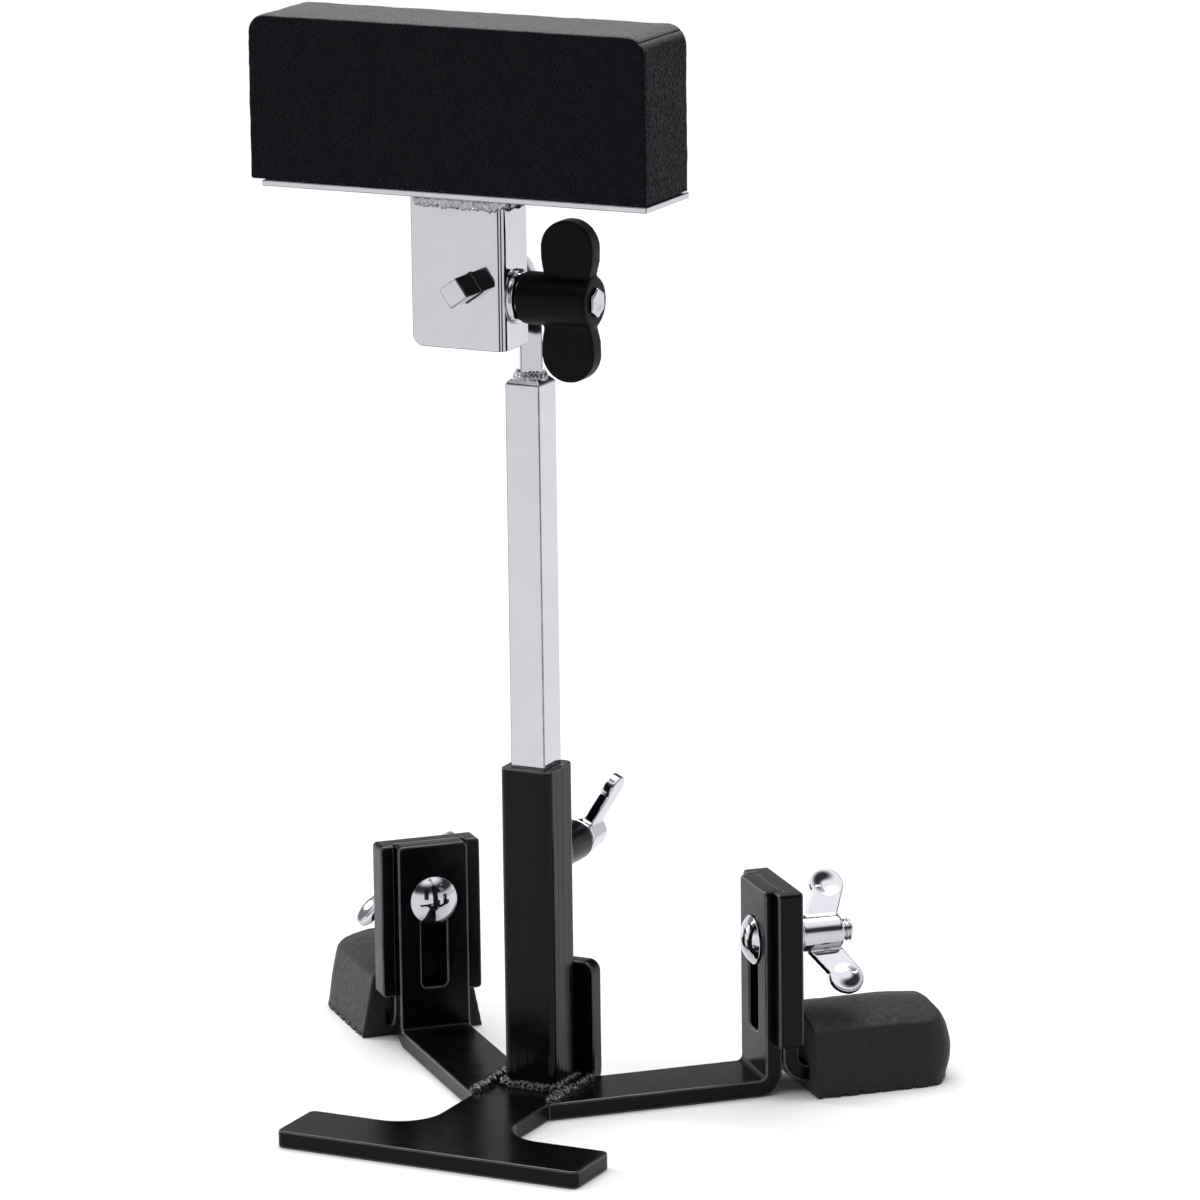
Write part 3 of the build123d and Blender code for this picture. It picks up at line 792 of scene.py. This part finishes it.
class PADSTAND_OT_welds(bpy.types.Operator):
    """Make every weld bead: tube, boss, arms, rod and bracket."""

    bl_idname = "pad_stand.welds"
    bl_label = "Weld Beads"

    def execute(self, context):
        pitch = context.scene.pad_stand_sizes.weld_pitch / MM
        self.tube_foot(pitch)
        self.boss_ring(pitch)
        self.arm_joints(pitch)
        self.rod_foot(pitch)
        self.bracket_top(pitch)
        return {"FINISHED"}

    def place_bead(self, name, shape, body, slot, node):
        set_in_place(mesh_piece(name, *shape), body, slot, node)

    def tube_foot(self, pitch):
        """Round the front and both sides of the tube's foot."""
        low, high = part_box("mast_tube")
        half, z = (high.x - low.x) / 2 / MM, low.z / MM
        corner = 3.0
        run = [(-half, half - 0.5)]
        run += arc((-half + corner, -half + corner), corner, 180, 270, 6)
        run += arc((half - corner, -half + corner), corner, 270, 360, 6)
        run += [(half, half - 0.5)]
        shape = weld_bead([(x, y, z) for x, y in run], (0, 0, 1), 2.9, 2.9, pitch * 1.25, 1.0)
        self.place_bead("tube_foot_weld", shape, "base", "black_weld", "tube_weld")

    def boss_ring(self, pitch):
        """Round the boss, where it stands on the tube's back."""
        low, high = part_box("boss_weld")
        centre_z = JOINTS["mast_screw_turn"]["pos_m"][2] / MM
        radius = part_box("clamp_boss")[1].x / MM
        ring = [(x, low.y / MM, centre_z + z) for x, z in circle(radius, 40)]
        shape = weld_bead(ring, (0, 1, 0), 1.9, (high.y - low.y) / MM + 0.4, pitch, 2.0, closed=True)
        self.place_bead("boss_ring_weld", shape, "base", "black_weld", "boss_weld")

    def arm_joints(self, pitch):
        """A straight bead over each arm's joint with the stem."""
        for number, side in enumerate(SIDES):
            node = side + "_arm_weld"
            low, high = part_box(node)
            x = (low.x + high.x) / 2 / MM
            z = low.z / MM
            run = [(x, low.y / MM + 0.3, z), (x, high.y / MM - 0.3, z)]
            shape = weld_bead(run, (0, 0, 1), 3.0, 2.6, pitch * 1.6, 3.0 + number)
            self.place_bead(side + "_arm_joint_weld", shape, "base", "black_weld", node)

    def rod_foot(self, pitch):
        """Round the rod's foot, on top of the bar."""
        low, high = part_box("rod_weld")
        radius = (high.x - low.x) / 2 / MM - 0.7
        ring = [(x, y, low.z / MM) for x, y in circle(radius, 32)]
        shape = weld_bead(ring, (0, 0, 1), 1.3, (high.z - low.z) / MM, pitch * 0.9, 5.0, closed=True)
        self.place_bead("rod_foot_weld", shape, "post", "chrome_weld", "rod_weld")

    def bracket_top(self, pitch):
        """Along the bracket's front, round its bend and a little way back, under the plate."""
        low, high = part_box("bracket_weld")
        bracket_low, bracket_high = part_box("pad_bracket")
        bend = 3.0
        front, right = bracket_low.y / MM, bracket_high.x / MM
        run = [(low.x / MM, front)]
        run += arc((right - bend, front + bend), bend, -90, 0, 6)
        run += [(right, high.y / MM)]
        top = high.z / MM
        depth = (bracket_low.y - low.y) / MM
        height = (high.z - low.z) / MM
        shape = weld_bead([(x, y, top) for x, y in run], (0, 0, 1), depth, height, pitch, 6.0)
        verts = [(x, y, min(z, high.z)) for x, y, z in shape[0]]
        self.place_bead("bracket_top_weld", (verts, shape[1]), "head", "chrome_weld", "bracket_weld")


def wing_outline(root_low, root_high, reach, end_x, end_r, steps=28):
    """A wing seen flat, in (along, out) millimetres: a straight root that runs into a round end."""
    points = [(root_low, -1.0), (root_low, 2.0)]
    start, end = math.radians(200), math.radians(-20)
    for i in range(steps + 1):
        angle = start + (end - start) * i / steps
        points.append((end_x + end_r * math.cos(angle), reach + end_r * math.sin(angle)))
    points += [(root_high, 2.0), (root_high, -1.0)]
    return points


def wing(outline, thickness, place):
    """A flat wing standing in the local XZ plane, moved into place."""
    verts, faces = prism(outline, -thickness / 2, thickness / 2)
    return placed(([(along, through, out) for through, along, out in verts], faces), place)


class PADSTAND_OT_wing_screw(bpy.types.Operator):
    """Make the cast wing screw that clamps the post: faceted hub and two thick ears."""

    bl_idname = "pad_stand.wing_screw"
    bl_label = "Cast Wing Screw"

    def execute(self, context):
        place = axis_frame("mast_screw_turn")
        tip = span_along("mast_wing_screw", place)[0]
        gap, hub_length = 0.9, 14.1
        start = span_along("clamp_boss", place)[1] + gap
        end = start + hub_length
        hub = lathe([(start, 6.1), (start + 0.6, 6.6), (end - 0.9, 5.5), (end, 4.6)], 8)
        shank = lathe([(tip, 2.6), (tip + 0.8, 3.9), (start + 2, 3.9)], 40)
        outline = wing_outline(start + 1.5, start + 11.0, 17.6, start + 12.3, 5.15)
        ears = [wing(outline, 3.8, Matrix.Rotation(math.radians(turn), 4, "X")) for turn in (26.0, -85.0)]
        screw = grown_together("cast_wing_screw", [hub, shank, *ears], 0.4, 5, place)
        set_in_place(screw, "mast_screw", "chrome", "mast_wing_screw")
        return {"FINISHED"}


class PADSTAND_OT_handle(bpy.types.Operator):
    """Make the moulded T handle, a round boss with a waisted paddle, and its threaded bush."""

    bl_idname = "pad_stand.handle"
    bl_label = "T Handle"

    def execute(self, context):
        place = axis_frame("tee_turn")
        start, end, widest, top = span_along("tee_handle", place)
        boss_r = widest - 0.05
        reach = top - 0.1
        boss = lathe(
            [(start + 0.1, boss_r - 1.2), (start + 0.5, boss_r - 0.4), (start + 1.4, boss_r),
             (end - 1.2, boss_r - 0.2), (end - 0.7, boss_r - 0.7), (end - 0.6, boss_r - 2.4)],
            72,
        )
        paddle = prism(self.paddle_outline(end, reach), -3.25, 3.25, Matrix.Rotation(math.pi / 2, 4, "Z"))
        verts = [(-x, y, z) for x, y, z in paddle[0]]
        handle = grown_together("tee_handle_moulding", [boss, (verts, paddle[1])], 0.45, 9, place)
        set_in_place(handle, "tee", "handle_plastic", "tee_handle")
        self.insert(place)
        return {"FINISHED"}

    def insert(self, place):
        """The threaded bush: round inside the moulding, hexagonal where it stands out of it."""
        start, end, flats, _ = span_along("tee_insert", place)
        sides = 48
        sleeve_end = end - 1.3
        sleeve = lathe([(start, 3.1), (start, 4.9), (sleeve_end, 4.9), (sleeve_end, 3.1)], sides, hollow=True)
        rings = [(end - 1.4, 1.0), (end - 0.4, 1.0), (end, 0.88), (end - 0.05, 0.62), (end - 0.25, 0.55),
                 (end - 0.3, 0.02)]
        sixth = math.pi / 6
        verts = []
        for ring, (x, share) in enumerate(rings):
            for i in range(sides):
                angle = 2 * math.pi * i / sides
                corner = math.cos(sixth) / math.cos((angle + sixth) % (2 * sixth) - sixth)
                radius = share * flats * (corner if ring < 2 else min(corner, 0.96))
                verts.append(around_x(x, radius, angle))
        hexagon = (verts, ring_faces(len(rings), sides))
        bush = mesh_piece("handle_bush", *joined(sleeve, hexagon), place)
        set_in_place(even_normals(bush), "tee", "chrome", "tee_insert")

    def paddle_outline(self, end, reach):
        """Outline in (along the bolt, up): a round-ended bar, drawn in at the outer edge beside the boss."""
        half = 9.45
        centre = end - 0.05 - half
        steps = 26
        points = []
        for sign in (1, -1):
            for i in range(steps + 1):
                angle = math.pi * i / steps
                out = reach - half + half * math.sin(angle)
                points.append((centre + half * math.cos(angle) * sign, sign * out))
            drawn_in = -1.1 if sign > 0 else 1.5
            for z in (13.0, 10.5, 8.5, 6.0, -6.0, -8.5, -10.5, -13.0):
                amount = 1 - smooth_step(7.0, 15.0, abs(z))
                points.append((centre - sign * half - drawn_in * amount, sign * z))
        return points


class PADSTAND_OT_boots(bpy.types.Operator):
    """Make both rubber boots: tapered, crowned, rounded at the toe, with a grooved sole."""

    bl_idname = "pad_stand.boots"
    bl_label = "Rubber Boots"

    def execute(self, context):
        for side in SIDES:
            self.boot(side, context.scene.pad_stand_sizes.tread_depth)
        return {"FINISHED"}

    def boot(self, side, tread_depth):
        """The frame's boot with softened edges, its toe bulged and lowered, and its sole grooved."""
        toe_drop, toe_bulge, toe_tuck = 1.6 * MM, 3.4 * MM, 1.3 * MM
        tread_pitch, tread_margin, skin_grain = 6.4 * MM, 2.2 * MM, 0.12 * MM
        node = side + "_rubber_foot"
        place = axis_frame(side + "_nut_turn")
        low, high = reach_along(node, place)
        toe, floor, top = high[0], low[2], high[2]
        source = frame["nodes"][node].data
        shape = ([v.co for v in source.vertices], [p.vertices for p in source.polygons])
        boot = grown_together(side + "_rubber_boot", [shape], 0.55, 2)
        to_local = place.inverted()
        for vertex in boot.data.vertices:
            point = to_local @ vertex.co
            near_toe = smooth_step(toe - 20 * MM, toe, point.x)
            share = (point.z - floor) / (top - floor)
            near_end = smooth_step(toe - 9 * MM, toe - 2 * MM, point.x)
            bulge = smooth_step(0.0, 0.55, share) * (1 - 0.55 * smooth_step(0.7, 1.0, share))
            point.z -= toe_drop * near_toe * share * share
            point.x += toe_bulge * near_toe * bulge
            point.x -= toe_tuck * near_end * (1 - smooth_step(0.0, 0.3, share))
            if point.z - floor < 0.9 * MM:
                groove = smooth_step(0.2, 0.6, abs(((point.x - low[0]) / tread_pitch) % 1.0 - 0.5) * 2)
                inside = 1 - smooth_step(0.0, 1.6 * MM, low[0] + tread_margin - point.x)
                point.z += tread_depth * (1 - groove) * inside
            grain = noise.noise(vertex.co * 260) * skin_grain
            point.z = max(floor, point.z + grain * share)
            vertex.co = place @ point
        set_in_place(boot, side + "_foot", "boot_rubber", node)


class PADSTAND_OT_fasteners(bpy.types.Operator):
    """Make the feet's carriage bolts, washers and pressed wing nuts."""

    bl_idname = "pad_stand.fasteners"
    bl_label = "Bolts and Wing Nuts"

    def execute(self, context):
        sizes = context.scene.pad_stand_sizes
        turns = {"left": sizes.left_nut_turn, "right": sizes.right_nut_turn}
        for side in SIDES:
            place = axis_frame(side + "_nut_turn")
            self.carriage_bolt(side, place)
            self.washer(side, place)
            self.wing_nut(side, place, turns[side], sizes.dimple_depth)
        return {"FINISHED"}

    def carriage_bolt(self, side, place):
        """A domed head with a thin rim, a square neck, and a shank with a thread at its end."""
        node = side + "_foot_bolt"
        start, end, radius, _ = span_along(node, place)
        height, shank_r = 4.0, 3.95
        profile = [(start + height, radius - 0.9), (start + height - 0.35, radius - 0.15)]
        sphere_r = (radius ** 2 + height ** 2) / (2 * height)
        for i in range(1, 14):
            angle = math.asin(radius / sphere_r) * (1 - i / 14)
            profile.append((start + sphere_r - sphere_r * math.cos(angle), sphere_r * math.sin(angle)))
        profile.append((start, 0.02))
        dome = lathe(profile, 72)
        square = [
            (-3.9, -3.4), (-3.4, -3.9), (3.4, -3.9), (3.9, -3.4),
            (3.9, 3.4), (3.4, 3.9), (-3.4, 3.9), (-3.9, 3.4),
        ]
        neck = prism(square, start + height - 0.2, start + height + 5.4)
        plain = lathe([(start + height, shank_r), (end - 9.0, shank_r)], 40)
        thread = threaded_rod(end - 9.2, end, shank_r, 1.25, 0.6)
        bolt = mesh_piece(side + "_carriage_bolt", *joined(dome, neck, plain, thread), place)
        set_in_place(even_normals(bolt), side + "_foot", "chrome", node)

    def washer(self, side, place):
        """A flat ring with eased rims."""
        node = side + "_foot_washer"
        start, end, rim, _ = span_along(node, place)
        bore = 4.3
        profile = [
            (start, bore), (start, rim - 0.3), (start + 0.3, rim),
            (end - 0.4, rim), (end, rim - 0.5), (end, bore),
        ]
        ring = mesh_piece(side + "_plain_washer", *lathe(profile, 64, hollow=True), place)
        set_in_place(even_normals(ring), side + "_foot", "chrome", node)

    def wing_nut(self, side, place, turn, dimple_depth):
        """A flanged round body with two pressed wings, each with a dished round end."""
        node = side + "_wing_nut"
        start = span_along(node, place)[0]
        length, middle, wing_offset = 18.0, 10.0, -3.0
        end = start + length
        body = lathe(
            [(start, 6.4), (start + 0.4, 7.3), (start + 2.3, 7.3), (start + 3.0, 6.3),
             (end - 1.0, 6.0), (end - 0.2, 5.4), (end, 4.6)],
            64,
        )
        reach, end_r, end_x = 16.8, 6.1, start + middle + 6.5
        outline = wing_outline(start + middle - 6.3, start + middle + 6.2, reach, end_x, end_r)
        aside = Matrix.Translation((0, wing_offset * MM, 0))
        wings = [wing(outline, 2.3, Matrix.Rotation(turn + half, 4, "X") @ aside) for half in (0.0, math.pi)]
        nut = grown_together(side + "_pressed_wing_nut", [body, *wings], 0.34, 4)
        self.press_dimples(nut, turn, end_x, reach, dimple_depth)
        nut.data.transform(place)
        set_in_place(nut, side + "_nut", "chrome", node)

    def press_dimples(self, nut, turn, end_x, reach, depth):
        """Dishes both wings' round ends, leaving a raised rim."""
        dish_r = 4.9
        for vertex in nut.data.vertices:
            for half in (0.0, math.pi):
                turned = Matrix.Rotation(-(turn + half), 4, "X")
                point = turned @ vertex.co
                if point.z < (reach - dish_r - 1.0) * MM:
                    continue
                away = math.hypot(point.x / MM - end_x, point.z / MM - reach) / dish_r
                if away < 1.25:
                    point.y += depth * (1 - smooth_step(0.15, 1.15, away))
                    vertex.co = turned.inverted() @ point


# ---------------------------------------------------------------- stage


class PADSTAND_OT_stage(bpy.types.Operator):
    """Make the pale floor, the soft light and the camera."""

    bl_idname = "pad_stand.stage"
    bl_label = "Studio"

    def execute(self, context):
        looks = context.scene.pad_stand_looks
        self.floor(looks)
        self.surroundings(looks)
        self.ceiling(looks.ceiling)
        for name, spot, target, size, share in (
            ("back_strip", (-0.2, 0.75, 1.6), (0, 0, 0.2), (1.3, 0.1), 0.45),
            ("left_strip", (-2.0, -0.1, 0.95), (-0.1, 0, 0.08), (0.3, 1.2), 1.3),
            ("right_strip", (1.1, 1.3, 0.9), (0, 0, 0.2), (0.07, 1.3), 0.25),
        ):
            self.softbox(name, spot, target, size, looks.softboxes * share)
        for number, bearing in enumerate((-66.0, -33.0)):
            self.black_card("black_card_%d" % number, bearing)
        self.camera()
        return {"FINISHED"}

    def black_card(self, name, bearing):
        """A standing dark card, seen only in glossy surfaces, as dark lines along rounded metal."""
        away, half_width, flare, height = 0.9, 0.13, 1.1, 0.7
        turn = math.radians(bearing)
        out = Vector((math.cos(turn), math.sin(turn), 0)) * away
        across = Vector((-math.sin(turn), math.cos(turn), 0)) * half_width
        raised = out + Vector((0, 0, height))
        verts = [out - across, out + across, raised + across * flare, raised - across * flare]
        card = mesh_piece(name, verts, [(0, 1, 2, 3)])
        card.data.materials.append(Finish("card_black", (0.01, 0.01, 0.01), 0.9, specular=0.05).material)
        card.visible_camera = card.visible_shadow = card.visible_diffuse = False

    def floor(self, looks):
        """A wide sheet of pale paper."""
        size, count = 14.0, 24
        stops = [size * (i / count - 0.5) for i in range(count + 1)]
        verts = [(x, y, 0) for y in stops for x in stops]
        row = count + 1
        corners = [j * row + i for j in range(count) for i in range(count)]
        faces = [(c, c + 1, c + row + 1, c + row) for c in corners]
        floor = mesh_piece("studio_floor", verts, faces)
        finish = Finish("floor_paper", looks.floor, 0.9, specular=0.1)
        finish.tint(finish.grain(3, 2), looks.floor, 0.99, 1.0)
        floor.data.materials.append(finish.material)

    def ceiling(self, strength):
        """Wide even light from above, so the whole floor stays white."""
        light = bpy.data.lights.new("ceiling_light", "SUN")
        light.energy = strength
        light.angle = math.radians(46)
        lamp = bpy.data.objects.new("ceiling_light", light)
        lamp.rotation_euler = Vector((0.2, -0.3, -1)).to_track_quat("-Z", "Y").to_euler()
        bpy.context.scene.collection.objects.link(lamp)

    def surroundings(self, looks):
        """Light all round: strongest above, weaker low in front, at the left and along the horizon."""
        world = bpy.data.worlds.new("studio_surroundings")
        bpy.context.scene.world = world
        world.use_nodes = True
        tree = world.node_tree
        background = tree.nodes["Background"]
        place = tree.nodes.new("ShaderNodeTexCoord")
        parts = tree.nodes.new("ShaderNodeSeparateXYZ")
        tree.links.new(place.outputs["Generated"], parts.inputs["Vector"])
        above = self.level(tree, parts.outputs["Z"], (0.62, 0.9), (0.0, 1.5))
        horizon = self.level(tree, parts.outputs["Z"], (0.36, 0.16), (0.05, 0.92))
        front = self.level(tree, parts.outputs["Y"], (-0.15, -0.6), (0.0, 1.0))
        raised = self.level(tree, parts.outputs["Z"], (0.45, 0.25), (0.0, 0.25))
        left = self.level(tree, parts.outputs["X"], (-0.2, -0.9), (0.0, 0.3))
        low_front = self.add(tree, front, raised, "MULTIPLY")
        total = self.add(tree, self.add(tree, low_front, above), self.add(tree, left, horizon))
        colour = tree.nodes.new("ShaderNodeCombineColor")
        for channel, share in (("Red", 0.985), ("Green", 0.985), ("Blue", 1.02)):
            scale = tree.nodes.new("ShaderNodeMath")
            scale.operation = "MULTIPLY"
            scale.inputs[1].default_value = share
            tree.links.new(total, scale.inputs[0])
            tree.links.new(scale.outputs[0], colour.inputs[channel])
        tree.links.new(colour.outputs["Color"], background.inputs["Color"])
        background.inputs["Strength"].default_value = looks.sky

    def level(self, tree, value, span, levels):
        """A smooth step of light across one direction of the room."""
        mapped = tree.nodes.new("ShaderNodeMapRange")
        mapped.interpolation_type = "SMOOTHSTEP"
        mapped.inputs["From Min"].default_value, mapped.inputs["From Max"].default_value = span
        mapped.inputs["To Min"].default_value, mapped.inputs["To Max"].default_value = levels
        tree.links.new(value, mapped.inputs["Value"])
        return mapped.outputs["Result"]

    def add(self, tree, first, second, operation="ADD"):
        """Two levels of light put together."""
        both = tree.nodes.new("ShaderNodeMath")
        both.operation = operation
        tree.links.new(first, both.inputs[0])
        tree.links.new(second, both.inputs[1])
        return both.outputs[0]

    def softbox(self, name, spot, target, size, power):
        """A long lamp at a spot, turned to its target."""
        light = bpy.data.lights.new(name, "AREA")
        light.shape = "RECTANGLE"
        light.size, light.size_y = size
        light.energy = power
        box = bpy.data.objects.new(name, light)
        box.location = spot
        box.rotation_euler = (Vector(target) - Vector(spot)).to_track_quat("-Z", "Y").to_euler()
        bpy.context.scene.collection.objects.link(box)

    def camera(self):
        """Long lens, a little above the pad, looking down from the handle's side."""
        swing, distance, height = 0.469487, 2.248378, 0.707714
        look, drop, tilt = 0.459582, 0.232995, -0.012959
        camera = bpy.data.cameras.new("studio_camera")
        camera.sensor_width = 36.0
        camera.lens = 206.47
        camera.clip_end = 60
        seat = bpy.data.objects.new("studio_camera", camera)
        ahead = Vector((-math.sin(look) * math.cos(drop), math.cos(look) * math.cos(drop), -math.sin(drop)))
        right = Vector((math.cos(look), math.sin(look), 0))
        up = right.cross(ahead)
        level_right = right * math.cos(tilt) + up * math.sin(tilt)
        level_up = up * math.cos(tilt) - right * math.sin(tilt)
        turned = Matrix((level_right, level_up, -ahead)).transposed().to_4x4()
        spot = Vector((distance * math.sin(swing), -distance * math.cos(swing), height))
        seat.matrix_world = Matrix.Translation(spot) @ turned
        bpy.context.scene.collection.objects.link(seat)
        bpy.context.scene.camera = seat


# ---------------------------------------------------------------- panel and registration

STEPS = (
    PADSTAND_OT_base,
    PADSTAND_OT_mast,
    PADSTAND_OT_post,
    PADSTAND_OT_head,
    PADSTAND_OT_pad,
    PADSTAND_OT_welds,
    PADSTAND_OT_wing_screw,
    PADSTAND_OT_handle,
    PADSTAND_OT_boots,
    PADSTAND_OT_fasteners,
    PADSTAND_OT_stage,
)


class PADSTAND_PT_panel(bpy.types.Panel):
    """Lists the making steps in the sidebar."""

    bl_idname = "PADSTAND_PT_panel"
    bl_label = "Practice Pad"
    bl_space_type = "VIEW_3D"
    bl_region_type = "UI"
    bl_category = "Practice Pad"

    def draw(self, context):
        for settings in (context.scene.pad_stand_sizes, context.scene.pad_stand_looks):
            box = self.layout.box()
            for name in settings.__annotations__:
                box.prop(settings, name)
        for step in STEPS:
            self.layout.operator(step.bl_idname)


CLASSES = (PadStandSizes, PadStandLooks, *STEPS, PADSTAND_PT_panel)


def register():
    for cls in CLASSES:
        bpy.utils.register_class(cls)
    bpy.types.Scene.pad_stand_sizes = PointerProperty(type=PadStandSizes)
    bpy.types.Scene.pad_stand_looks = PointerProperty(type=PadStandLooks)


def unregister():
    del bpy.types.Scene.pad_stand_looks
    del bpy.types.Scene.pad_stand_sizes
    for cls in reversed(CLASSES):
        bpy.utils.unregister_class(cls)


def main():
    register()
    bpy.context.scene.view_settings.view_transform = "Standard"
    for step in STEPS:
        group, name = step.bl_idname.split(".")
        getattr(getattr(bpy.ops, group), name)()


if __name__ == "__main__":
    main()
